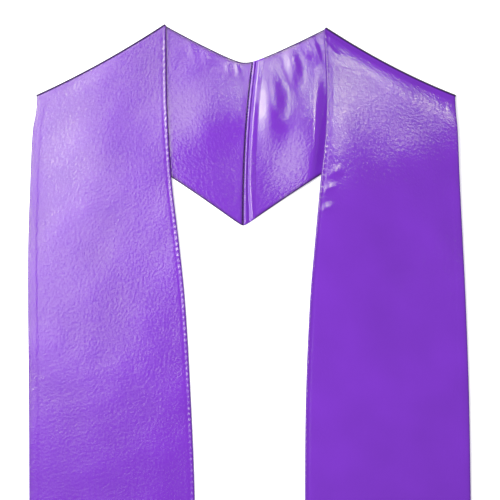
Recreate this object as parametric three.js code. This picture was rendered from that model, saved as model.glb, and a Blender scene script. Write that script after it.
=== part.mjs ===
// A graduation stole of satin, lying flat with its shoulders folded, in millimetres and +Z up.
// +Y points from the ends of the front panels to the neck. The back section lies face down, and
// the front panels are folded over it at the shoulders, face up. Until the whole is centred at
// the end, X is measured from the centre back and Y from the inner ends of the shoulder folds.

import * as THREE from 'three';
import { mergeVertices } from 'three/addons/utils/BufferGeometryUtils.js';

// Outline of the back section and the shoulders
const SHOULDER_HALF = 180;
const NECK_HALF = 68;
const FOLD_DROP = 59;
const NECK_DIP = 31.5;
const NECK_EDGE_SAG = 0.8;
const CENTER_SEAM = 140.5;
const LOWER_EDGE_HOLLOW = 4.6;
const NECK_CORNER = 7;
const TIP_CORNER = 2.5;

// X of the lowest places of the neck edge and of the lower edge, since the stole lies a little askew
const NECK_MIDDLE = -0.7;
const TIP_MIDDLE = -2.6;

// How far below their outermost line the inner ends of the shoulder folds lie
const FOLD_END_DROP = { left: 0.7, right: 2.6 };

// Front panels
const FRONT_LENGTH = 745;
const POINT_DEPTH = 55;
const POINT_RUN = 185;

// Below the fold, a front panel takes up its own width and loses the fold's hollow over these
const WIDTH_RUN = 30;
const HOLLOW_RUN = 90;

// Cloth walls and how they lie on each other
const CLOTH = 1.0;
const PLY_GAP = 0.3;
const SETTLE_LENGTH = 27;

// The pressed seam at the centre back
const SEAM_WIDTH = 9;
const SEAM_SHIFT = 5;
const SEAM_RIDGE = 0.7;

// The seam bends as the stole lies: where it starts at the neck edge and ends at the point below
const SEAM_AT_NECK = 5.3;
const SEAM_AT_TIP = -2.8;
const SEAM_BEND = 2.3;

// The seam's top from left to right, with a ridge on each side of the groove of the stitch line:
// share of SEAM_WIDTH and height above the lining as a share of SEAM_RIDGE
const SEAM_PROFILE = [
  { share: 0.00, height: 0.0 },
  { share: 0.13, height: 0.8 },
  { share: 0.30, height: 0.7 },
  { share: 0.42, height: -0.4 },
  { share: 0.54, height: 0.6 },
  { share: 0.78, height: 1.0 },
  { share: 1.00, height: 0.0 },
];

// Edges of the front panels, which lie a little askew towards +X: down as a share of FRONT_LENGTH
// from the inner ends of the folds, outer edges as shares of SHOULDER_HALF and inner edges as
// shares of NECK_HALF
const PANEL_EDGES = [
  { down: 0.00, leftOuter: 1.000, leftInner: 1.012, rightInner: 0.990, rightOuter: 1.000 },
  { down: 0.08, leftOuter: 1.004, leftInner: 1.003, rightInner: 1.018, rightOuter: 1.002 },
  { down: 0.13, leftOuter: 1.023, leftInner: 0.978, rightInner: 0.996, rightOuter: 1.012 },
  { down: 0.18, leftOuter: 1.033, leftInner: 0.940, rightInner: 0.936, rightOuter: 1.021 },
  { down: 0.25, leftOuter: 1.043, leftInner: 0.850, rightInner: 0.866, rightOuter: 1.036 },
  { down: 0.32, leftOuter: 1.044, leftInner: 0.772, rightInner: 0.804, rightOuter: 1.050 },
  { down: 0.43, leftOuter: 1.040, leftInner: 0.701, rightInner: 0.754, rightOuter: 1.066 },
  { down: 0.55, leftOuter: 1.038, leftInner: 0.650, rightInner: 0.743, rightOuter: 1.074 },
  { down: 1.00, leftOuter: 1.028, leftInner: 0.590, rightInner: 0.760, rightOuter: 1.098 },
];

// How far the middle of each shoulder fold lies inside the straight line between its ends, as a
// share of FOLD_DROP
const FOLD_HOLLOW = { left: 0.049, right: 0.063 };

// Swells and puckers of the cloth that shows on top. across is a share of SHOULDER_HALF from the
// centre and down a share of CENTER_SEAM below the inner ends of the folds; long and wide are the
// swell's half lengths as shares of CENTER_SEAM, turn is the way of its long side in degrees from
// +Y outwards, and rise is a share of CLOTH
const LINING_SWELLS = [
  { side: 'left', across: 0.19, down: 0.54, long: 0.25, wide: 0.14, turn: -59, rise: 1.3 },
  { side: 'right', across: 0.11, down: 0.42, long: 0.22, wide: 0.08, turn: 2, rise: 1.8 },
  { side: 'right', across: 0.22, down: 0.85, long: 0.28, wide: 0.12, turn: -14, rise: 1.7 },
];
const FACE_SWELLS = [
  { side: 'left', across: 0.71, down: 0.75, long: 0.43, wide: 0.22, turn: 8, rise: 0.8 },
  { side: 'right', across: 0.68, down: 0.74, long: 0.46, wide: 0.24, turn: 60, rise: 2.2 },
  { side: 'right', across: 0.47, down: 0.56, long: 0.19, wide: 0.20, turn: 90, rise: 1.2 },
  { side: 'right', across: 0.41, down: 0.95, long: 0.07, wide: 0.05, turn: 70, rise: 1.0 },
  { side: 'right', across: 0.40, down: 1.17, long: 0.07, wide: 0.04, turn: 70, rise: 0.9 },
];

// How finely the cloth is divided
const BACK_STEPS = 12;
const FOLD_STEPS = 6;
const FRONT_STEPS = 30;
const CROSS_STEPS = 10;
const SEAM_ROWS = 12;
const SWELL_FADE_ROWS = 3;

const SIGN = { left: -1, right: 1 };
const SATIN_COLOR = 0x7a3bc8;
const SATIN_ROUGHNESS = 0.38;

// Worked out from the sizes above
const FACE_INNER_RADIUS = CLOTH + 1.5 * PLY_GAP;
const FACE_OUTER_RADIUS = FACE_INNER_RADIUS + CLOTH;
const LINING_INNER_RADIUS = 0.5 * PLY_GAP;
const LINING_OUTER_RADIUS = LINING_INNER_RADIUS + CLOTH;
const FOLD_HEIGHT = FACE_OUTER_RADIUS;
const PILE_DROP = 2 * (CLOTH + PLY_GAP);
const FOLD_RUN = SHOULDER_HALF - NECK_HALF;
const FOLD_LENGTH = Math.hypot(FOLD_RUN, FOLD_DROP);
const FOLD_NORMAL_X = FOLD_DROP / FOLD_LENGTH;
const FOLD_NORMAL_Y = FOLD_RUN / FOLD_LENGTH;
const FOLD_SETBACK = FACE_OUTER_RADIUS / FOLD_NORMAL_Y;
const FOLD_END_Y = -FOLD_DROP - FOLD_SETBACK;
const TIP_Y = -(NECK_DIP + CENTER_SEAM);
const LOWER_SLOPE = (FOLD_END_Y - TIP_Y) / roundedDistance(SHOULDER_HALF, TIP_CORNER);
const SEAM_INSIDE = SEAM_SHIFT - SEAM_WIDTH / 2;
const SEAM_OUTSIDE = SEAM_SHIFT + SEAM_WIDTH / 2;

function mix(a, b, t) {
  return a + (b - a) * t;
}

function smooth(t) {
  const s = THREE.MathUtils.clamp(t, 0, 1);
  return s * s * (3 - 2 * s);
}

// Distance from the centre line with the corner there rounded off
function roundedDistance(x, corner) {
  return Math.sqrt(x * x + corner * corner) - corner;
}

// How far out from an edge's lowest place x is, stretched so that both outer ends are half away
function distanceOut(x, middle, half) {
  const reach = x < middle ? half + middle : half - middle;
  return (Math.abs(x - middle) * half) / reach;
}

function neckEdgeY(x) {
  const out = distanceOut(x, NECK_MIDDLE, NECK_HALF);
  const share = Math.min(out / NECK_HALF, 1);
  const sag = NECK_EDGE_SAG * 4 * share * (1 - share);
  const rise = NECK_DIP - FOLD_END_DROP[x < NECK_MIDDLE ? 'left' : 'right'];
  const slope = rise / roundedDistance(NECK_HALF, NECK_CORNER);
  return -NECK_DIP + slope * roundedDistance(out, NECK_CORNER) - sag;
}

function lowerEdgeY(x) {
  const out = distanceOut(x, TIP_MIDDLE, SHOULDER_HALF);
  const share = Math.min(out / SHOULDER_HALF, 1);
  const hollow = LOWER_EDGE_HOLLOW * 4 * share * (1 - share);
  return TIP_Y + LOWER_SLOPE * roundedDistance(out, TIP_CORNER) + hollow;
}

// How far the seam lies from the centre back, up from the point below at 0 to the neck edge at 1
function seamShift(up) {
  return mix(SEAM_AT_TIP, SEAM_AT_NECK, up ** SEAM_BEND);
}

// A column of PANEL_EDGES at a share of the way down, on a smooth curve through its rows
function panelShare(column, down) {
  const points = PANEL_EDGES.map((row) => new THREE.Vector2(row.down, row[column]));
  let i = 0;
  while (i < points.length - 2 && down > points[i + 1].x) {
    i += 1;
  }
  const before = points[Math.max(i - 1, 0)];
  const start = points[i];
  const end = points[i + 1];
  const after = points[Math.min(i + 2, points.length - 1)];
  const span = end.x - start.x;
  const t = THREE.MathUtils.clamp((down - start.x) / span, 0, 1);
  const startSlope = ((end.y - before.y) / (end.x - before.x)) * span;
  const endSlope = ((after.y - start.y) / (after.x - start.x)) * span;
  const t2 = t * t;
  const t3 = t2 * t;
  return (2 * t3 - 3 * t2 + 1) * start.y + (t3 - 2 * t2 + t) * startSlope
    + (3 * t2 - 2 * t3) * end.y + (t3 - t2) * endSlope;
}

// A shoulder fold's hollow at a place across it
function foldHollow(side, across) {
  return FOLD_HOLLOW[side] * FOLD_DROP * 4 * across * (1 - across);
}

// Plan positions. side is left or right, and across runs from 0 at the outer edge to 1 at the
// neck edge
function backPlan(side, along, across) {
  const centerX = side === 'left' ? SEAM_INSIDE - PLY_GAP : SEAM_OUTSIDE + PLY_GAP;
  const outerX = mix(centerX + SEAM_AT_TIP, SIGN[side] * SHOULDER_HALF, along);
  const neckX = SIGN[side] * NECK_HALF * panelShare(`${side}Inner`, 0);
  const innerX = mix(centerX + SEAM_AT_NECK, neckX, along);
  const bend = seamShift(across) - mix(SEAM_AT_TIP, SEAM_AT_NECK, across);
  const hollow = foldHollow(side, across) * smooth(along);
  return {
    x: mix(outerX, innerX, across) + bend * (1 - along),
    y: mix(lowerEdgeY(outerX), neckEdgeY(innerX), across) - hollow,
  };
}

function foldPlan(side, reach, across) {
  const middle = backPlan(side, 1, across);
  return {
    x: middle.x + SIGN[side] * FOLD_NORMAL_X * reach,
    y: middle.y + FOLD_NORMAL_Y * reach,
  };
}

function frontPlan(side, along, across) {
  const fold = backPlan(side, 1, across);
  const foldOuter = backPlan(side, 1, 0);
  const foldInner = backPlan(side, 1, 1);
  const outerY = mix(foldOuter.y, -FRONT_LENGTH, along);
  const innerY = mix(foldInner.y, -FRONT_LENGTH, along);
  const outerX = SHOULDER_HALF * panelShare(`${side}Outer`, -outerY / FRONT_LENGTH);
  const innerX = NECK_HALF * panelShare(`${side}Inner`, -innerY / FRONT_LENGTH);
  const down = along * FRONT_LENGTH;
  const join = smooth(down / WIDTH_RUN);
  const hollow = foldHollow(side, across) * (1 - smooth(down / HOLLOW_RUN));
  const middle = 1 - Math.abs(2 * across - 1);
  const pointReach = smooth((down - FRONT_LENGTH + POINT_RUN) / POINT_RUN);
  return {
    x: SIGN[side] * mix(Math.abs(fold.x), mix(outerX, innerX, across), join),
    y: mix(outerY, innerY, across) - hollow - POINT_DEPTH * middle * pointReach,
  };
}

// How far the swells of a cloth lift it at a plan position
function swellHeight(swells, side, x, y) {
  let height = 0;
  for (const swell of swells) {
    if (swell.side !== side) {
      continue;
    }
    const dx = Math.abs(x) - swell.across * SHOULDER_HALF;
    const dy = y + swell.down * CENTER_SEAM;
    const turn = THREE.MathUtils.degToRad(swell.turn);
    const lengthwise = (dy * Math.cos(turn) + dx * Math.sin(turn)) / (swell.long * CENTER_SEAM);
    const crosswise = (dx * Math.cos(turn) - dy * Math.sin(turn)) / (swell.wide * CENTER_SEAM);
    height += swell.rise * CLOTH * Math.exp(-lengthwise * lengthwise - crosswise * crosswise);
  }
  return height;
}

// How far a front panel has come down at a plan position: none over the back section, and the
// back section's two cloths once it is past that section's lower edge
function settled(x, y) {
  const steepness = Math.hypot(1, LOWER_SLOPE);
  const past = (lowerEdgeY(THREE.MathUtils.clamp(x, -SHOULDER_HALF, SHOULDER_HALF)) - y) / steepness;
  return PILE_DROP * smooth(past / SETTLE_LENGTH);
}

// One point of a cloth: station counts the rows from the centre back, and radius is the distance
// from the middle of the shoulder fold's thickness, which the back section keeps below it and the
// front panel above it
function clothPoint(cloth, station, across, radius) {
  const side = cloth.side;
  if (station <= BACK_STEPS) {
    const plan = backPlan(side, station / BACK_STEPS, across);
    const free = smooth((BACK_STEPS - station) / SWELL_FADE_ROWS);
    const swell = cloth.shows === 'back' ? free * swellHeight(LINING_SWELLS, side, plan.x, plan.y) : 0;
    return new THREE.Vector3(plan.x, plan.y, FOLD_HEIGHT - radius + swell);
  }
  if (station < BACK_STEPS + FOLD_STEPS) {
    const angle = Math.PI * ((station - BACK_STEPS) / FOLD_STEPS - 0.5);
    const plan = foldPlan(side, radius * Math.cos(angle), across);
    return new THREE.Vector3(plan.x, plan.y, FOLD_HEIGHT + radius * Math.sin(angle));
  }
  const row = station - BACK_STEPS - FOLD_STEPS;
  const share = row / FRONT_STEPS;
  const plan = frontPlan(side, (share * (1 + share)) / 2, across);
  const free = smooth(row / SWELL_FADE_ROWS);
  const swell = cloth.shows === 'front' ? free * swellHeight(FACE_SWELLS, side, plan.x, plan.y) : 0;
  return new THREE.Vector3(plan.x, plan.y, FOLD_HEIGHT + radius - settled(plan.x, plan.y) + swell);
}

// A named mesh of satin, with the vertices that faces share merged into one
function closedBody(positions, triangles, name) {
  const coordinates = positions.flatMap((point) => point.toArray());
  const geometry = new THREE.BufferGeometry();
  geometry.setAttribute('position', new THREE.Float32BufferAttribute(coordinates, 3));
  geometry.setIndex(triangles);
  const merged = mergeVertices(geometry, 1e-4);
  merged.computeVertexNormals();
  const material = new THREE.MeshStandardMaterial({
    color: SATIN_COLOR,
    roughness: SATIN_ROUGHNESS,
    metalness: 0,
  });
  const mesh = new THREE.Mesh(merged, material);
  mesh.name = name;
  return mesh;
}

// A wall between two grids of points that have the same rows and columns: outside faces out
function wallMesh(outside, inside, name, mirrored) {
  const rows = outside.length;
  const columns = outside[0].length;
  const positions = [...outside.flat(), ...inside.flat()];
  const count = rows * columns;
  const triangles = [];
  const quad = (a, b, c, d) => {
    if (mirrored) {
      triangles.push(a, c, b, a, d, c);
    } else {
      triangles.push(a, b, c, a, c, d);
    }
  };
  const at = (row, column) => row * columns + column;
  for (let row = 0; row < rows - 1; row += 1) {
    for (let column = 0; column < columns - 1; column += 1) {
      const a = at(row, column);
      const b = at(row + 1, column);
      const c = at(row + 1, column + 1);
      const d = at(row, column + 1);
      quad(a, b, c, d);
      quad(a + count, d + count, c + count, b + count);
    }
  }
  const rim = [];
  for (let row = 0; row < rows - 1; row += 1) {
    rim.push(at(row, 0));
  }
  for (let column = 0; column < columns - 1; column += 1) {
    rim.push(at(rows - 1, column));
  }
  for (let row = rows - 1; row > 0; row -= 1) {
    rim.push(at(row, columns - 1));
  }
  for (let column = columns - 1; column > 0; column -= 1) {
    rim.push(at(0, column));
  }
  rim.forEach((a, i) => {
    const b = rim[(i + 1) % rim.length];
    quad(b, a, a + count, b + count);
  });
  return closedBody(positions, triangles, name);
}

// One cloth of one half, from the centre back over the shoulder fold to the pointed end
function clothMesh(cloth) {
  const outside = [];
  const inside = [];
  const stations = BACK_STEPS + FOLD_STEPS + FRONT_STEPS;
  for (let station = 0; station <= stations; station += 1) {
    const outsideRow = [];
    const insideRow = [];
    for (let column = 0; column <= CROSS_STEPS; column += 1) {
      const across = column / CROSS_STEPS;
      outsideRow.push(clothPoint(cloth, station, across, cloth.outerRadius));
      insideRow.push(clothPoint(cloth, station, across, cloth.innerRadius));
    }
    outside.push(outsideRow);
    inside.push(insideRow);
  }
  return wallMesh(outside, inside, `${cloth.side}_${cloth.ply}`, cloth.side === 'right');
}

// The seam stands on the same surface as the back section, between its two halves
function seamMesh() {
  const lining = FOLD_HEIGHT - LINING_INNER_RADIUS;
  const top = [];
  const bottom = [];
  for (let row = 0; row <= SEAM_ROWS; row += 1) {
    const down = row / SEAM_ROWS;
    const topRow = [];
    const bottomRow = [];
    for (const column of SEAM_PROFILE) {
      const offset = mix(SEAM_INSIDE, SEAM_OUTSIDE, column.share);
      const x = offset + seamShift(1 - down);
      const y = mix(neckEdgeY(offset + SEAM_AT_NECK), lowerEdgeY(offset + SEAM_AT_TIP), down);
      topRow.push(new THREE.Vector3(x, y, lining + SEAM_RIDGE * column.height));
      bottomRow.push(new THREE.Vector3(x, y, 0));
    }
    top.push(topRow);
    bottom.push(bottomRow);
  }
  return wallMesh(top, bottom, 'center_back_seam', false);
}

const PLIES = [
  { ply: 'face', shows: 'front', innerRadius: FACE_INNER_RADIUS, outerRadius: FACE_OUTER_RADIUS },
  { ply: 'lining', shows: 'back', innerRadius: LINING_INNER_RADIUS, outerRadius: LINING_OUTER_RADIUS },
];

const stole = new THREE.Group();
for (const side of ['left', 'right']) {
  for (const ply of PLIES) {
    stole.add(clothMesh({ side, ...ply }));
  }
}
stole.add(seamMesh());

// The origin is below the centre of the whole, on the surface that it lies on
const bounds = new THREE.Box3().setFromObject(stole);
const middle = bounds.getCenter(new THREE.Vector3());
stole.position.set(-middle.x, -middle.y, -bounds.min.z);

export default stole;
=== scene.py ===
import math

import bpy
import numpy as np
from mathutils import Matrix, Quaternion, Vector


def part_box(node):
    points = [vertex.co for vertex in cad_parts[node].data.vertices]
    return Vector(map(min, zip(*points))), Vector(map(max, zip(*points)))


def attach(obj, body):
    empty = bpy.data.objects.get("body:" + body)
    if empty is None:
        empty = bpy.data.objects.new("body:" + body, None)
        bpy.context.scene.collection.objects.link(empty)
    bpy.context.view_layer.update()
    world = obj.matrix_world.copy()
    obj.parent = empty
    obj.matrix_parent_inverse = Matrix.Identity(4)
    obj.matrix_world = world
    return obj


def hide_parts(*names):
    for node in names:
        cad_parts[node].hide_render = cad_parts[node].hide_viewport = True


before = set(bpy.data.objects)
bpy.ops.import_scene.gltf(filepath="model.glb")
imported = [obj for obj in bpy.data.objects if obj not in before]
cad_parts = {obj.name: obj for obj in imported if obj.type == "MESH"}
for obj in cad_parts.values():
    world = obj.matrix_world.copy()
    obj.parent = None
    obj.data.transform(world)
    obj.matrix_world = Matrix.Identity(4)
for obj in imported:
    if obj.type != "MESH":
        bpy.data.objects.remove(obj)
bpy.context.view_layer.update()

# A satin graduation stole that lies flat with its shoulders folded. Sizes are millimetres, and X is
# measured from the centre back and Y from the inner ends of the shoulder folds, until each mesh is
# made in metres in the frame's place.
MM = 0.001

# Outline of the back section, the shoulders and the front panels
SHOULDER_HALF = 180
NECK_HALF = 68
FOLD_DROP = 59
NECK_DIP = 31.5
NECK_EDGE_SAG = 0.8
CENTER_SEAM = 140.5
LOWER_EDGE_HOLLOW = 4.6
NECK_CORNER = 7
TIP_CORNER = 2.5
NECK_MIDDLE = -0.7
TIP_MIDDLE = -2.6
FOLD_END_DROP = {"left": 0.7, "right": 2.6}
FRONT_LENGTH = 745
POINT_DEPTH = 55
POINT_RUN = 185
WIDTH_RUN = 30
HOLLOW_RUN = 90
FOLD_HOLLOW = {"left": 0.049, "right": 0.063}

# Edges of the front panels: down as a share of FRONT_LENGTH, outer edges as shares of SHOULDER_HALF
# and inner edges as shares of NECK_HALF
PANEL_COLUMNS = ("down", "leftOuter", "leftInner", "rightInner", "rightOuter")
PANEL_EDGES = (
    (0.00, 1.000, 1.012, 0.990, 1.000),
    (0.08, 1.004, 1.003, 1.018, 1.002),
    (0.13, 1.023, 0.978, 0.996, 1.012),
    (0.18, 1.033, 0.940, 0.936, 1.021),
    (0.25, 1.043, 0.850, 0.866, 1.036),
    (0.32, 1.044, 0.772, 0.804, 1.050),
    (0.43, 1.040, 0.701, 0.754, 1.066),
    (0.55, 1.038, 0.650, 0.743, 1.074),
    (1.00, 1.028, 0.590, 0.760, 1.098),
)

# Height of the middle of the shoulder folds, and how far the cloths lie from it: each in the open, and
# both at the edges, where they meet
FOLD_HEIGHT = 2.45
FACE_RADIUS = 2.40
LINING_RADIUS = 0.20
EDGE_RADIUS = 1.30
EDGE_GAP = 0.02

# The cloth's wall, how far it curls in at an edge, and where its inside starts
WALL = 0.45
EDGE_CURL = 1.2
WALL_START = 0.3

# How far the front panels come down past the back section, and from where and over what length
PILE_DROP = 2.6
SETTLE_STARTS = {"left": 0, "right": 15}
SETTLE_LENGTHS = {"left": 85, "right": 90}

# Over what length below a shoulder fold the front panel's relief grows, how fast the back section's
# relief fades at the fold, where it fades beside a front panel, and the deepest dip that either has
FREE_LENGTHS = {"left": 14, "right": 4}
FOLD_FADE_RATE = 12
PANEL_FADE_START = 2.0
PANEL_FADE_RUN = 12.0
LOWEST_DIP = -0.6

# The pressed seam at the centre back: its two sides, the room that the cloths leave it, and how far it
# spreads into that room on the left and laps over the right cloth
SEAM_INSIDE = 0.5
SEAM_OUTSIDE = 9.5
SEAM_CLEARANCE = 0.3
SEAM_SPREAD = 0.25
SEAM_LAP = 1.1

# From which share of its width the seam laps over, how close it then lies, and its underside's height
LAP_START = 0.9
LAP_GAP = 0.03
SEAM_BASE = 0.05

# The seam's line: its places at the neck and at the point below, and how late it bends between them
SEAM_AT_NECK = 5.3
SEAM_AT_TIP = -2.8
SEAM_BEND = 2.3

# How far the stitch line drifts outwards near the point, and from which share of the way down
SEAM_DRIFT = 2.2
SEAM_DRIFT_START = 0.72

# The seam's ends, and how its height wavers along it: share, wave lengths and where the first starts
SEAM_END_HEIGHT = 1.0
SEAM_END_START = 0.02
SEAM_WAVER = 0.18
SEAM_WAVES = (6.1, 13.7)
SEAM_WAVE_START = 0.8

# Width of the shade painted along the seam's inner side, in the groove where the two halves meet
SEAM_PAINTED_SHADE_WIDTH = 0.5

# The seam's section from left to right: share of its width and height above the lining. The kernel
# rounds the corners between its rows.
SEAM_KERNEL = (0.25, 0.5, 0.25)
SEAM_PROFILE = (
    (0.00, -1.00),
    (0.03, -0.20),
    (0.09, 0.32),
    (0.17, 0.42),
    (0.24, 0.22),
    (0.29, -0.30),
    (0.35, -0.60),
    (0.40, -0.45),
    (0.45, 0.05),
    (0.52, 0.42),
    (0.62, 0.50),
    (0.76, 0.36),
    (0.90, 0.18),
    (1.00, 0.08),
)

# Swells of the back section: centre x and y, half length, half width, turn of the long side in
# degrees from +Y towards +X, and rise
BACK_SWELLS = (
    (21, -66, 28, 12, 0, 2.7),
    (51, -110, 50, 27, -9, 2.2),
    (77, -112, 50, 27, -9, 2.2),
)

# Swells that the back section and the left front panel on it share
SHARED_SWELLS = (
    (-26, -74, 26, 36, -20, 1.5),
)

# Short creases of the back section, below the neck edge
BACK_CREASES = (
    (40.5, -34, 16, 6.0, -10, 1.35),
    (-46, -21, 7, 3.2, -25, 0.25),
    (-35, -27, 6, 2.8, -25, 0.22),
    (-15, -37, 5, 2.5, -30, 0.50),
    (-7, -38, 6, 2.2, -15, 0.55),
    (53, -20, 7, 3.2, -25, 0.50),
    (61, -22, 13, 3.2, -22, 0.70),
)

# Swells and creases of the front panels, in the same columns
FRONT_SWELLS = (
    (-128, -105, 60, 30, -8, 0.8),
    (48, -180, 95, 66, 0, 4.4),
    (78, -98, 50, 26, 0, 1.5),
)
FRONT_CREASES = (
    (64, -21, 13, 2.2, -18, 0.30),
    (71, -18, 13, 2.0, -42, 0.25),
    (76.5, -126, 5.0, 3.2, 60, 0.6),
    (71, -140, 5.0, 3.0, 62, 0.6),
    (69, -157, 5.0, 3.0, 64, 0.5),
)

# How steeply the right front panel rises from its shoulder fold, which is pressed flatter than the
# panel, and how far below the fold it has levelled off
RISE_SLOPE = 0.20
RISE_RUN = 26

# Puckers that the stitched inner edge draws up, the pressed line beside it and the seam allowance
# that shows through beside the outer edge
PUCKER_PITCH = 4.7
PUCKER_RISE = 0.16
PUCKER_REACH = 2.6
PUCKER_MEAN = 0.7
PUCKER_VARIATION = 0.3
PUCKER_WAVES = (17.0, 7.3)
PRESS_INSET = 3.4
PRESS_WIDTH = 0.9
PRESS_DEPTH = 0.14
ALLOWANCE_INSET = 8.0
ALLOWANCE_BLEND = 0.9
ALLOWANCE_RISE = 0.08

# Width of the shade painted into the colour along the rolled edges, how much of it shows on the front
# panels, and where the shade painted round the shoulder fold ends and over how much it fades, as shares
# of its half turn
PAINTED_SHADE_WIDTH = 1.8
FRONT_PAINTED_SHADE = 0.35
FOLD_PAINTED_SHADE_END = 1.05
FOLD_PAINTED_SHADE_FADE = 0.20

# Mesh rows and columns: the front panels' rows lie closer over the length that the camera sees, and the
# columns closer beside the edges, at places for a band of nominal width
BACK_ROWS = {"face": 70, "lining": 200}
FRONT_ROWS = {"face": 440, "lining": 150}
TAIL_ROWS = {"face": 64, "lining": 48}
FOLD_ROWS = 16
END_ROWS = 6
MIDDLE_COLUMNS = 44
EDGE_COLUMNS = 7
COLUMNS_BESIDE_EDGE = (1.7, 2.4, 3.1, 3.9, 4.8, 6.0, 7.4, 8.4, 9.6)
NOMINAL_WIDTH = 135
SEEN_LENGTH = 410
SEAM_ROWS = 220
SEAM_COLUMNS = 61

SIGN = {"left": -1, "right": 1}


def mix(a, b, t):
    return a + (b - a) * t


def smooth(t):
    s = np.clip(t, 0, 1)
    return s * s * (3 - 2 * s)


def rounded_distance(x, corner):
    return np.sqrt(x * x + corner * corner) - corner


FOLD_RUN = SHOULDER_HALF - NECK_HALF
FOLD_LENGTH = math.hypot(FOLD_RUN, FOLD_DROP)
FOLD_NORMAL_X = FOLD_DROP / FOLD_LENGTH
FOLD_NORMAL_Y = FOLD_RUN / FOLD_LENGTH
FOLD_SETBACK = FOLD_HEIGHT / FOLD_NORMAL_Y
FOLD_END_Y = -FOLD_DROP - FOLD_SETBACK
TIP_Y = -(NECK_DIP + CENTER_SEAM)
LOWER_SLOPE = (FOLD_END_Y - TIP_Y) / rounded_distance(SHOULDER_HALF, TIP_CORNER)


def distance_out(x, middle, half):
    """How far out x is from an edge's lowest place, stretched so that both outer ends are half away."""
    reach = np.where(x < middle, half + middle, half - middle)
    return np.abs(x - middle) * half / reach


def neck_edge_y(x):
    out = distance_out(x, NECK_MIDDLE, NECK_HALF)
    share = np.minimum(out / NECK_HALF, 1)
    sag = NECK_EDGE_SAG * 4 * share * (1 - share)
    rise = NECK_DIP - np.where(x < NECK_MIDDLE, FOLD_END_DROP["left"], FOLD_END_DROP["right"])
    slope = rise / rounded_distance(NECK_HALF, NECK_CORNER)
    return -NECK_DIP + slope * rounded_distance(out, NECK_CORNER) - sag


def lower_edge_y(x):
    out = distance_out(x, TIP_MIDDLE, SHOULDER_HALF)
    share = np.minimum(out / SHOULDER_HALF, 1)
    hollow = LOWER_EDGE_HOLLOW * 4 * share * (1 - share)
    return TIP_Y + LOWER_SLOPE * rounded_distance(out, TIP_CORNER) + hollow


def seam_shift(up):
    """How far the seam lies from the centre back, up from the point below at 0 to the neck at 1."""
    return mix(SEAM_AT_TIP, SEAM_AT_NECK, up ** SEAM_BEND)


def panel_share(column, down):
    """A column of PANEL_EDGES at shares of the way down, on a smooth curve through its rows."""
    table = np.array(PANEL_EDGES)
    place = table[:, 0]
    value = table[:, PANEL_COLUMNS.index(column)]
    slope = np.gradient(value, place)
    slope[1:-1] = (value[2:] - value[:-2]) / (place[2:] - place[:-2])
    i = np.clip(np.searchsorted(place, down) - 1, 0, len(place) - 2)
    span = place[i + 1] - place[i]
    t = np.clip((down - place[i]) / span, 0, 1)
    t2 = t * t
    t3 = t2 * t
    ends = (2 * t3 - 3 * t2 + 1) * value[i] + (3 * t2 - 2 * t3) * value[i + 1]
    return ends + span * ((t3 - 2 * t2 + t) * slope[i] + (t3 - t2) * slope[i + 1])


def fold_hollow(side, across):
    return FOLD_HOLLOW[side] * FOLD_DROP * 4 * across * (1 - across)


def back_plan(side, along, across):
    """X outwards and Y of the back section: across runs from 0 at the lower edge to 1 at the neck."""
    sign = SIGN[side]
    centre_x = SEAM_OUTSIDE + SEAM_CLEARANCE if side == "right" else SEAM_INSIDE - SEAM_CLEARANCE
    outer_x = mix(centre_x + SEAM_AT_TIP, sign * SHOULDER_HALF, along)
    inner_x = mix(centre_x + SEAM_AT_NECK, sign * NECK_HALF * panel_share(side + "Inner", 0.0), along)
    bend = seam_shift(across) - mix(SEAM_AT_TIP, SEAM_AT_NECK, across)
    hollow = fold_hollow(side, across) * smooth(along)
    x = mix(outer_x, inner_x, across) + bend * (1 - along)
    y = mix(lower_edge_y(outer_x), neck_edge_y(inner_x), across) - hollow
    return sign * x, y


def front_plan(side, along, across):
    """X outwards and Y of a front panel, from the fold at along 0 to the pointed end at 1."""
    fold_x = back_plan(side, 1.0, across)[0]
    outer_y = mix(back_plan(side, 1.0, 0.0)[1], -FRONT_LENGTH, along)
    inner_y = mix(back_plan(side, 1.0, 1.0)[1], -FRONT_LENGTH, along)
    outer_x = SHOULDER_HALF * panel_share(side + "Outer", -outer_y / FRONT_LENGTH)
    inner_x = NECK_HALF * panel_share(side + "Inner", -inner_y / FRONT_LENGTH)
    down = along * FRONT_LENGTH
    hollow = fold_hollow(side, across) * (1 - smooth(down / HOLLOW_RUN))
    middle = 1 - np.abs(2 * across - 1)
    point = POINT_DEPTH * middle * smooth((down - FRONT_LENGTH + POINT_RUN) / POINT_RUN)
    x = mix(fold_x, mix(outer_x, inner_x, across), smooth(down / WIDTH_RUN))
    y = mix(outer_y, inner_y, across) - hollow - point
    return x, y


def settled(side, x, y):
    """How far a front panel has come down past the back section's lower edge."""
    past = (lower_edge_y(np.clip(x, -SHOULDER_HALF, SHOULDER_HALF)) - y) / math.hypot(1, LOWER_SLOPE)
    return PILE_DROP * smooth((past - SETTLE_STARTS[side]) / SETTLE_LENGTHS[side])


def swells(table, x, y):
    """Summed height of the swells and creases of a table at plan positions."""
    height = np.zeros_like(x)
    for centre_x, centre_y, long, wide, turn, rise in table:
        angle = math.radians(turn)
        dx = x - centre_x
        dy = y - centre_y
        lengthwise = (dy * math.cos(angle) + dx * math.sin(angle)) / long
        crosswise = (dx * math.cos(angle) - dy * math.sin(angle)) / wide
        height += rise * np.exp(-lengthwise * lengthwise - crosswise * crosswise)
    return height


def panel_inner_x(side, y):
    """How far out a front panel's inner edge lies at a height of the plan."""
    return NECK_HALF * panel_share(side + "Inner", np.clip(-y / FRONT_LENGTH, 0, 1))


def back_relief(x, y):
    """Height of the back section's swells, pressed flat again below the front panels."""
    height = swells(BACK_SWELLS, x, y) + swells(BACK_CREASES, x, y)
    edge = np.where(x < 0, panel_inner_x("left", y), panel_inner_x("right", y))
    free = smooth((edge - np.abs(x) + PANEL_FADE_START) / PANEL_FADE_RUN)
    return height * free + swells(SHARED_SWELLS, x, y)


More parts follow.
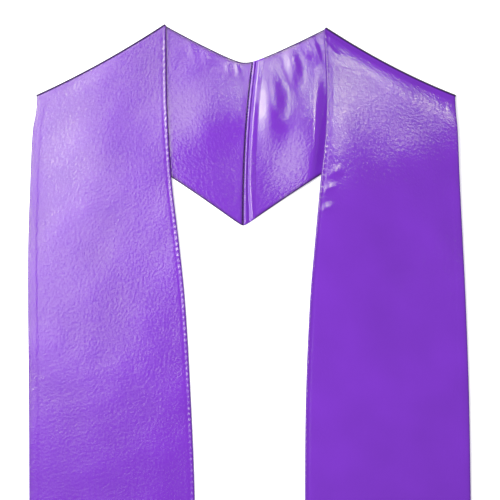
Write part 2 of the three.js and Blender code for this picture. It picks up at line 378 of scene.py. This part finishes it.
def shoulder_rise(x, y):
    """Height of the rise below the right shoulder fold."""
    fold_y = -FOLD_DROP * (x - NECK_HALF) / FOLD_RUN
    below = (fold_y - y) * FOLD_NORMAL_Y
    left = 1 - np.clip(below / RISE_RUN, 0, 1)
    return np.where(x > 0, 0.5 * RISE_SLOPE * RISE_RUN * (1 - left * left), 0)


def edge_puckers(distance, length):
    """Little waves that the edge stitches draw up, fading away from the edge."""
    wave = np.cos(2 * math.pi * length / PUCKER_PITCH)
    slow, quick = PUCKER_WAVES
    uneven = PUCKER_MEAN + PUCKER_VARIATION * np.sin(length / slow) * np.sin(length / quick)
    return PUCKER_RISE * wave * uneven * np.exp(-((distance / PUCKER_REACH) ** 2))


def front_relief(x, y, outer_gap, inner_gap, length):
    """Height of a front panel's swells, shoulder rise, pressed line, seam allowance and puckers."""
    height = swells(FRONT_SWELLS, x, y) + swells(FRONT_CREASES, x, y) + swells(SHARED_SWELLS, x, y)
    height += shoulder_rise(x, y)
    height -= PRESS_DEPTH * np.exp(-(((inner_gap - PRESS_INSET) / PRESS_WIDTH) ** 2))
    height += ALLOWANCE_RISE * (1 - smooth((outer_gap - ALLOWANCE_INSET) / ALLOWANCE_BLEND + 0.5))
    height += edge_puckers(inner_gap, length)
    return height


def column_shares():
    """Shares across the band, close together where the edges curl."""
    curl = [EDGE_CURL * (1 - math.cos(0.5 * math.pi * k / EDGE_COLUMNS)) for k in range(EDGE_COLUMNS)]
    edge = np.array(curl + [EDGE_CURL, *COLUMNS_BESIDE_EDGE]) / NOMINAL_WIDTH
    middle = np.linspace(edge[-1], 1 - edge[-1], MIDDLE_COLUMNS)[1:-1]
    return np.concatenate([edge, middle, 1 - edge[::-1]])


def curl_profile(distance, reach):
    """Rises from 0 at an edge to 1 at its reach, as a quarter of a circle does."""
    share = np.clip(distance / reach, 0, 1)
    return np.sqrt(1 - (1 - share) ** 2)


def band_rows(ply):
    """Rows of a cloth as (part, share) from the centre back to the pointed end."""
    first = EDGE_CURL / SHOULDER_HALF
    starts = [1 - math.cos(0.5 * math.pi * k / END_ROWS) for k in range(END_ROWS)]
    rows = [("back", first * t) for t in starts]
    rows += [("back", t) for t in np.linspace(first, 1, BACK_ROWS[ply], endpoint=False)]
    rows += [("fold", t) for t in np.linspace(0, 1, FOLD_ROWS, endpoint=False)]
    seen = SEEN_LENGTH / FRONT_LENGTH
    rows += [("front", t) for t in np.linspace(0, seen, FRONT_ROWS[ply], endpoint=False)]
    last = 1 - EDGE_CURL / FRONT_LENGTH
    rows += [("front", t) for t in np.linspace(seen, last, TAIL_ROWS[ply], endpoint=False)]
    ends = [math.sin(0.5 * math.pi * k / END_ROWS) for k in range(END_ROWS + 1)]
    rows += [("front", mix(last, 1, t)) for t in ends]
    return rows


def painted_edge_shading(part, share, gap):
    """How much shade is painted into the cloth's colour beside an edge: most on the back section's
    edges and the folds.
    """
    shade_painted = np.exp(-((gap / PAINTED_SHADE_WIDTH) ** 2))
    if part == "fold":
        return np.maximum(shade_painted, smooth((FOLD_PAINTED_SHADE_END - share) / FOLD_PAINTED_SHADE_FADE))
    if part == "front":
        return shade_painted * FRONT_PAINTED_SHADE
    return shade_painted


def row_plan(side, part, share, across):
    """X outwards and Y of a row of a cloth."""
    if part == "back":
        return back_plan(side, share, across)
    if part == "fold":
        return back_plan(side, 1.0, across)
    return front_plan(side, share, across)


def nearest_edge(side, part, share, outer_gap, inner_gap):
    """How far a row's points lie from the nearest edge or end of the cloth."""
    gap = np.minimum(outer_gap, inner_gap)
    if part == "front":
        return np.minimum(gap, (1 - share) * FRONT_LENGTH)
    if part == "back" and side == "left":
        return np.minimum(gap, share * SHOULDER_HALF)
    return gap


def back_points(ply, share, x, y, gap, radius):
    """Points of a row of the back section."""
    relief = back_relief(x, y)
    if ply == "face":
        relief = np.maximum(relief, 0)
    relief = np.where(gap < EDGE_CURL, np.maximum(relief, 0), np.maximum(relief, LOWEST_DIP))
    relief = relief * smooth((1 - share) * FOLD_FADE_RATE)
    return np.stack([x, y, FOLD_HEIGHT - radius + relief], 1)


def fold_points(side, share, x, y, radius):
    """Points of a row round a shoulder fold."""
    angle = math.pi * (share - 0.5)
    out = radius * math.cos(angle)
    fold_x = x + SIGN[side] * FOLD_NORMAL_X * out
    return np.stack([fold_x, y + FOLD_NORMAL_Y * out, FOLD_HEIGHT + radius * math.sin(angle)], 1)


def front_points(side, ply, share, x, y, relief, radius):
    """Points of a row of a front panel."""
    if ply == "lining":
        relief = np.maximum(relief, 0)
    relief = np.maximum(relief, LOWEST_DIP) * smooth(share * FRONT_LENGTH / FREE_LENGTHS[side])
    return np.stack([x, y, FOLD_HEIGHT + radius - settled(side, x, y) + relief], 1)


def cloth_grids(side, ply):
    """Outside and inside points of one cloth, with its UVs and the shade painted into its colour near
    its edges.
    """
    across = column_shares()
    outside, inside, lengths, painted_shade_grid = [], [], [], []
    reach = {"face": FACE_RADIUS, "lining": LINING_RADIUS}[ply]
    rim = EDGE_RADIUS + (EDGE_GAP if ply == "face" else -EDGE_GAP)
    wall = -WALL if ply == "face" else WALL
    run = 0.0
    before = None
    for part, share in band_rows(ply):
        out, y = row_plan(side, part, share, across)
        width = np.hypot(out[-1] - out[0], y[-1] - y[0])
        outer_gap = across * width
        inner_gap = (1 - across) * width
        gap = nearest_edge(side, part, share, outer_gap, inner_gap)
        middle = np.array([out[len(out) // 2], y[len(y) // 2]])
        if before is not None:
            run += float(np.hypot(*(middle - before)))
        before = middle
        if part == "fold":
            run += math.pi * reach / FOLD_ROWS
        x = SIGN[side] * out
        open_radius = mix(rim, reach, curl_profile(gap, EDGE_CURL))
        wall_radius = mix(rim, reach + wall, curl_profile(gap - WALL_START, EDGE_CURL))
        for grid, radius in ((outside, open_radius), (inside, wall_radius)):
            if part == "back":
                grid.append(back_points(ply, share, x, y, gap, radius))
            elif part == "fold":
                grid.append(fold_points(side, share, x, y, radius))
            else:
                relief = front_relief(x, y, outer_gap, inner_gap, run)
                grid.append(front_points(side, ply, share, x, y, relief, radius))
        lengths.append(np.stack([outer_gap, np.full_like(across, run)], 1))
        # The shade painted into the colour along the rolled edges and round the fold
        painted_shade_grid.append(painted_edge_shading(part, share, gap))
    return np.array(outside), np.array(inside), np.array(lengths), np.array(painted_shade_grid)


def origin():
    """Where the centre back at the height of the fold's inner ends lies in the frame."""
    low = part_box("center_back_seam")[0]
    seam_x = SEAM_INSIDE + SEAM_AT_TIP
    return Vector((low.x - seam_x * MM, low.y - float(lower_edge_y(seam_x)) * MM, 0))


ORIGIN = origin()


def quads_of(rows, columns, offset, flip):
    """Four-sided faces of a grid as an array of vertex numbers."""
    number = offset + np.arange(rows * columns).reshape(rows, columns)
    faces = np.stack([number[:-1, :-1], number[1:, :-1], number[1:, 1:], number[:-1, 1:]], -1)
    faces = faces.reshape(-1, 4)
    return faces[:, ::-1] if flip else faces


def shell_faces(rows, columns, mirrored):
    """Faces of an outer and an inner grid, and of the rim that joins them."""
    count = rows * columns
    faces = [quads_of(rows, columns, 0, mirrored), quads_of(rows, columns, count, not mirrored)]
    number = np.arange(count).reshape(rows, columns)
    rim = np.concatenate([number[:-1, 0], number[-1, :-1], number[:0:-1, -1], number[0, :0:-1]])
    following = np.roll(rim, -1)
    skirt = np.stack([following, rim, rim + count, following + count], 1)
    faces.append(skirt[:, ::-1] if mirrored else skirt)
    return np.concatenate(faces)


def make_mesh(name, points, faces, uvs, painted_edge_shade):
    """An object with smooth faces. Points and UVs come in millimetres and are made in metres."""
    mesh = bpy.data.meshes.new(name)
    place = points * MM + np.array(ORIGIN)
    mesh.from_pydata(place.tolist(), [], faces.tolist())
    mesh.polygons.foreach_set("use_smooth", [True] * len(mesh.polygons))
    corners = np.empty(len(mesh.loops), int)
    mesh.loops.foreach_get("vertex_index", corners)
    layer = mesh.uv_layers.new(name="cloth")
    layer.data.foreach_set("uv", (uvs * MM)[corners].ravel())
    # Shade painted into the colour along the edges, the folds and the seam, which the material reads
    attribute = mesh.attributes.new("painted_edge_shade", "FLOAT", "POINT")
    attribute.data.foreach_set("value", painted_edge_shade)
    mesh.validate()
    mesh.update()
    piece = bpy.data.objects.new(name, mesh)
    bpy.context.scene.collection.objects.link(piece)
    return piece


def make_cloth(side, ply, material):
    """One satin cloth, which stands for the node of its side and ply."""
    outside, inside, lengths, painted_shade_grid = cloth_grids(side, ply)
    rows, columns = outside.shape[:2]
    points = np.concatenate([outside.reshape(-1, 3), inside.reshape(-1, 3)])
    uvs = np.concatenate([lengths.reshape(-1, 2)] * 2)
    # The painted shade, the same on the outside and the inside
    shade_painted = np.concatenate([painted_shade_grid.ravel()] * 2)
    faces = shell_faces(rows, columns, (side == "right") != (ply == "lining"))
    piece = make_mesh(f"{side}_{ply}_satin", points, faces, uvs, shade_painted)
    piece.data.materials.append(material)
    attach(piece, "root")
    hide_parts(f"{side}_{ply}")


def seam_top():
    """Points of the seam's top, whose stitch line drifts outwards at the lower end."""
    profile = np.array(SEAM_PROFILE)
    share = np.linspace(0, 1, SEAM_COLUMNS)
    height = np.interp(share, profile[:, 0], profile[:, 1])
    height[1:-1] = np.convolve(height, np.array(SEAM_KERNEL), "valid")
    down = np.linspace(0, 1, SEAM_ROWS)[:, None]
    drift = SEAM_DRIFT * smooth((down - SEAM_DRIFT_START) / (1 - SEAM_DRIFT_START))
    bell = np.sin(math.pi * share)[None, :] ** 2
    offset = mix(SEAM_INSIDE - SEAM_SPREAD, SEAM_OUTSIDE + SEAM_LAP, share)[None, :] + drift * bell
    x = offset + seam_shift(1 - down)
    y = mix(neck_edge_y(offset + SEAM_AT_NECK), lower_edge_y(offset + SEAM_AT_TIP), down)
    quick, slow = SEAM_WAVES
    uneven = 1 + SEAM_WAVER * np.sin(y / quick + SEAM_WAVE_START) * np.sin(y / slow)
    z = FOLD_HEIGHT - LINING_RADIUS + np.where(height > 0, height * uneven, height)
    z = z + back_relief(x, y)
    end_gap = np.minimum(down, 1 - down) * CENTER_SEAM
    z = mix(SEAM_BASE + SEAM_END_HEIGHT, z, curl_profile(end_gap + SEAM_END_START, EDGE_CURL))
    return np.stack([x, y, z], -1)


def make_seam(material):
    """The seam's strip, with shade painted into its colour along its inner side, where the two halves
    meet.
    """
    top = seam_top()
    bottom = top.copy()
    share = np.linspace(0, 1, SEAM_COLUMNS)
    lining = FOLD_HEIGHT - LINING_RADIUS + back_relief(top[..., 0], top[..., 1])
    lapped = np.minimum(lining + LAP_GAP, top[..., 2] - LAP_GAP)
    bottom[..., 2] = np.where(share[None, :] > LAP_START, lapped, SEAM_BASE)
    points = np.concatenate([top.reshape(-1, 3), bottom.reshape(-1, 3)])
    uvs = points[:, :2].copy()
    # Shade painted along the seam's inner side, fading across the strip
    side_gap = share * (SEAM_OUTSIDE - SEAM_INSIDE)
    shade_painted = np.tile(np.exp(-((side_gap / SEAM_PAINTED_SHADE_WIDTH) ** 2)), SEAM_ROWS * 2)
    faces = shell_faces(SEAM_ROWS, SEAM_COLUMNS, False)
    piece = make_mesh("center_back_seam_folds", points, faces, uvs, shade_painted)
    piece.data.materials.append(material)
    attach(piece, "root")
    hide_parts("center_back_seam")


# The satin's shine: tinted reflections, stretched a little by the threads, and a faint fuzz
SATIN_IOR = 1.5
SPECULAR_LEVEL = 0.5
SPECULAR_TINT = (0.95, 1.0, 0.5, 1.0)
THREAD_STRETCH = 0.2
FUZZ = 0.04
FUZZ_ROUGHNESS = 0.4

# Noise features for each metre across and along the band, and the depth of each in metres
THREAD_SCALE = (2600, 260, 1)
THREAD_DEPTH = 0.000006
GRAIN_SCALE = (430, 380, 1)
GRAIN_DEPTH = 0.00014
DRIFT_SCALE = 21.0
DRIFT_DEPTH = 0.0006

# Least and greatest shade of the cloth's colour, and how dark the painted shade makes it where an edge
# rolls under
SHADE_RANGE = (0.86, 1.14)
DARKEST_PAINTED_SHADE = 0.16

# Colours of the two cloths, and the least and greatest roughness of their grain
FACE_COLOR = (0.145, 0.024, 0.415)
LINING_COLOR = (0.147, 0.025, 0.420)
FACE_ROUGHNESS = (0.06, 0.15)
LINING_ROUGHNESS = (0.04, 0.11)


def node(tree, kind, **inputs):
    """A new shader node with its inputs set, an underscore standing for a space in their names."""
    made = tree.nodes.new(kind)
    for key, value in inputs.items():
        made.inputs[key.replace("_", " ")].default_value = value
    return made


def set_shine(shader):
    """Values of the shader that are the same all over the cloth."""
    shader.inputs["IOR"].default_value = SATIN_IOR
    shader.inputs["Specular IOR Level"].default_value = SPECULAR_LEVEL
    shader.inputs["Specular Tint"].default_value = SPECULAR_TINT
    shader.inputs["Anisotropic"].default_value = THREAD_STRETCH
    shader.inputs["Sheen Weight"].default_value = FUZZ
    shader.inputs["Sheen Roughness"].default_value = FUZZ_ROUGHNESS


def stretched_noise(tree, coordinates, scale, **inputs):
    """Noise whose features are scaled apart across and along the band."""
    mapping = tree.nodes.new("ShaderNodeMapping")
    mapping.inputs["Scale"].default_value = scale
    tree.links.new(coordinates, mapping.inputs["Vector"])
    noise = node(tree, "ShaderNodeTexNoise", Scale=1.0, **inputs)
    tree.links.new(mapping.outputs[0], noise.inputs["Vector"])
    return noise.outputs["Fac"]


def add_bump(tree, height, depth, before=None):
    """A bump of a depth in metres, on top of the one before it."""
    bump = node(tree, "ShaderNodeBump", Strength=1.0, Distance=depth)
    tree.links.new(height, bump.inputs["Height"])
    if before is not None:
        tree.links.new(before, bump.inputs["Normal"])
    return bump.outputs[0]


def ranged(tree, value, least, greatest):
    """A value from 0 to 1, spread from least to greatest."""
    spread = node(tree, "ShaderNodeMapRange")
    spread.inputs["To Min"].default_value = least
    spread.inputs["To Max"].default_value = greatest
    tree.links.new(value, spread.inputs["Value"])
    return spread.outputs[0]


def satin_material(name, color, roughness):
    """Polyester satin: a glossy warp face with fine threads and a slight pressed unevenness, with shade
    painted into its colour along the edges.
    """
    material = bpy.data.materials.new(name)
    material.use_nodes = True
    tree = material.node_tree
    link = tree.links.new
    shader = tree.nodes["Principled BSDF"]
    set_shine(shader)
    uv_map = node(tree, "ShaderNodeUVMap")
    uv_map.uv_map = "cloth"
    coordinates = uv_map.outputs[0]
    tangent = tree.nodes.new("ShaderNodeTangent")
    tangent.direction_type = "UV_MAP"
    tangent.uv_map = "cloth"
    link(tangent.outputs[0], shader.inputs["Tangent"])

    # Threads less than half a millimetre wide, with slubs a few millimetres long, a pressed grain two
    # to three millimetres across, and a slow unevenness some centimetres across
    threads = stretched_noise(tree, coordinates, THREAD_SCALE, Detail=2.0, Roughness=0.6)
    grain = stretched_noise(tree, coordinates, GRAIN_SCALE, Detail=3.0, Roughness=0.55)
    drift_noise = node(tree, "ShaderNodeTexNoise", Scale=DRIFT_SCALE, Detail=1.5, Roughness=0.45)
    link(coordinates, drift_noise.inputs["Vector"])
    drift = drift_noise.outputs["Fac"]

    link(ranged(tree, grain, *roughness), shader.inputs["Roughness"])
    slow_bump = add_bump(tree, drift, DRIFT_DEPTH)
    grain_bump = add_bump(tree, grain, GRAIN_DEPTH, slow_bump)
    link(add_bump(tree, threads, THREAD_DEPTH, grain_bump), shader.inputs["Normal"])

    # Colour: lighter and darker with the slow unevenness, and darkened by painted shade where an edge
    # rolls under
    painted_edge_shade = tree.nodes.new("ShaderNodeAttribute")
    painted_edge_shade.attribute_name = "painted_edge_shade"
    both = tree.nodes.new("ShaderNodeMath")
    both.operation = "MULTIPLY"
    link(ranged(tree, drift, *SHADE_RANGE), both.inputs[0])
    link(ranged(tree, painted_edge_shade.outputs["Fac"], 1.0, DARKEST_PAINTED_SHADE), both.inputs[1])
    tinted = tree.nodes.new("ShaderNodeVectorMath")
    tinted.operation = "SCALE"
    tinted.inputs[0].default_value = color
    link(both.outputs[0], tinted.inputs["Scale"])
    link(tinted.outputs[0], shader.inputs["Base Color"])
    return material


# Camera straight above, as far off as a product photographer's, at the photograph's framing
CAMERA_CENTER = Vector((-0.0015, 0.20604))
CAMERA_HEIGHT = 2.0
FRAME_WIDTH = 0.430
CLOTH_LEVEL = 0.004
SENSOR_WIDTH = 36.0
NEAREST_SEEN = 0.05
FARTHEST_SEEN = 30


def make_camera():
    """A camera that looks straight down and frames FRAME_WIDTH at the level of the cloth."""
    data = bpy.data.cameras.new("camera")
    data.sensor_width = SENSOR_WIDTH
    data.lens = SENSOR_WIDTH * (CAMERA_HEIGHT - CLOTH_LEVEL) / FRAME_WIDTH
    data.clip_start = NEAREST_SEEN
    data.clip_end = FARTHEST_SEEN
    camera = bpy.data.objects.new("camera", data)
    camera.location = (CAMERA_CENTER.x, CAMERA_CENTER.y, CAMERA_HEIGHT)
    bpy.context.scene.collection.objects.link(camera)
    bpy.context.scene.camera = camera


# Softboxes: name, centre from the camera's foot in metres, turn in degrees, width, length and
# radiance, all at one height
SOFTBOX_HEIGHT = 2.4
SOFTBOXES = (
    ("haze_left", (-0.355, 0.36), -12, 0.38, 1.10, 6.7),
    ("haze_left_low", (-0.45, -0.27), -8, 0.36, 0.16, 3.0),
    ("haze_left_end", (-0.47, -0.43), -8, 0.36, 0.16, 1.0),
    ("haze_far_left", (-0.94, 0.36), -8, 0.57, 1.10, 22.0),
    ("back_top", (-0.04, 0.90), 0, 0.26, 0.32, 12.0),
    ("shoulder_top", (0.28, 0.64), 0, 0.13, 0.28, 34.0),
    ("shoulder_outer", (0.425, 0.595), 0, 0.15, 0.31, 5.5),
    ("shoulder_low", (0.35, 0.36), 0, 0.30, 0.15, 12.5),
)

# Side strips that light the cloth's own colour: name, place, width, length and radiance
STRIPS = (
    ("strip_left", (-0.95, 0.25, 0.65), 1.2, 0.5, 4.3),
    ("strip_top", (-0.3, 1.3, 0.8), 1.2, 0.5, 0.8),
)
WORLD_RADIANCE = 0.25

# A lamp whose pool of light fades towards the lower right: place, aim, radius, cone in degrees and
# power
POOL_PLACE = (-0.90, 1.00, 1.60)
POOL_AIM = (-0.06, 0.17, 0.0)
POOL_RADIUS = 0.25
POOL_CONE = 17.4
POOL_POWER = 86


def add_area_light(name, place, aim, width, length, radiance, spin=0.0):
    """A rectangular light that the camera doesn't see, of an even radiance whatever its size."""
    data = bpy.data.lights.new(name, "AREA")
    data.shape = "RECTANGLE"
    data.size = width
    data.size_y = length
    data.energy = radiance * math.pi * width * length
    light = bpy.data.objects.new(name, data)
    light.location = place
    turn = (Vector(place) - Vector(aim)).to_track_quat("Z", "Y")
    light.rotation_euler = (turn @ Quaternion((0, 0, 1), math.radians(spin))).to_euler()
    light.visible_camera = False
    bpy.context.scene.collection.objects.link(light)


def add_pool_lamp():
    data = bpy.data.lights.new("pool_lamp", "SPOT")
    data.energy = POOL_POWER
    data.shadow_soft_size = POOL_RADIUS
    data.spot_size = math.radians(POOL_CONE)
    data.spot_blend = 1.0
    lamp = bpy.data.objects.new("pool_lamp", data)
    lamp.location = POOL_PLACE
    lamp.rotation_euler = (Vector(POOL_PLACE) - Vector(POOL_AIM)).to_track_quat("Z", "Y").to_euler()
    bpy.context.scene.collection.objects.link(lamp)


def make_lights():
    for name, (x, y), spin, width, length, radiance in SOFTBOXES:
        place = (CAMERA_CENTER.x + x, CAMERA_CENTER.y + y, SOFTBOX_HEIGHT)
        below = (place[0], place[1], 0)
        add_area_light(name, place, below, width, length, radiance, spin)
    for name, place, width, length, radiance in STRIPS:
        aim = (0, CAMERA_CENTER.y, 0)
        add_area_light(name, place, aim, width, length, radiance)
    add_pool_lamp()
    world = bpy.data.worlds.new("studio")
    world.use_nodes = True
    background = world.node_tree.nodes["Background"]
    background.inputs["Color"].default_value = (1, 1, 1, 1)
    background.inputs["Strength"].default_value = WORLD_RADIANCE
    bpy.context.scene.world = world


# White table, a hair below the cloth
FLOOR_HALF = 4.0
FLOOR_LEVEL = -0.0003
FLOOR_COLOR = (0.85, 0.85, 0.85, 1)
FLOOR_ROUGHNESS = 0.8
FLOOR_GLOW = 0.45


def make_floor():
    material = bpy.data.materials.new("white_table")
    material.use_nodes = True
    shader = material.node_tree.nodes["Principled BSDF"]
    shader.inputs["Base Color"].default_value = FLOOR_COLOR
    shader.inputs["Roughness"].default_value = FLOOR_ROUGHNESS
    shader.inputs["Emission Color"].default_value = (1, 1, 1, 1)
    shader.inputs["Emission Strength"].default_value = FLOOR_GLOW
    mesh = bpy.data.meshes.new("floor")
    h = FLOOR_HALF
    mesh.from_pydata([(-h, -h, 0), (h, -h, 0), (h, h, 0), (-h, h, 0)], [], [(0, 1, 2, 3)])
    mesh.materials.append(material)
    floor = bpy.data.objects.new("floor", mesh)
    floor.location.z = FLOOR_LEVEL
    bpy.context.scene.collection.objects.link(floor)


def main():
    make_camera()
    make_lights()
    make_floor()
    face = satin_material("face_satin_cloth", FACE_COLOR, FACE_ROUGHNESS)
    lining = satin_material("lining_satin_cloth", LINING_COLOR, LINING_ROUGHNESS)
    for side in ("left", "right"):
        make_cloth(side, "face", face)
        make_cloth(side, "lining", lining)
    make_seam(lining)
    bpy.context.scene.view_settings.view_transform = "Standard"


main()
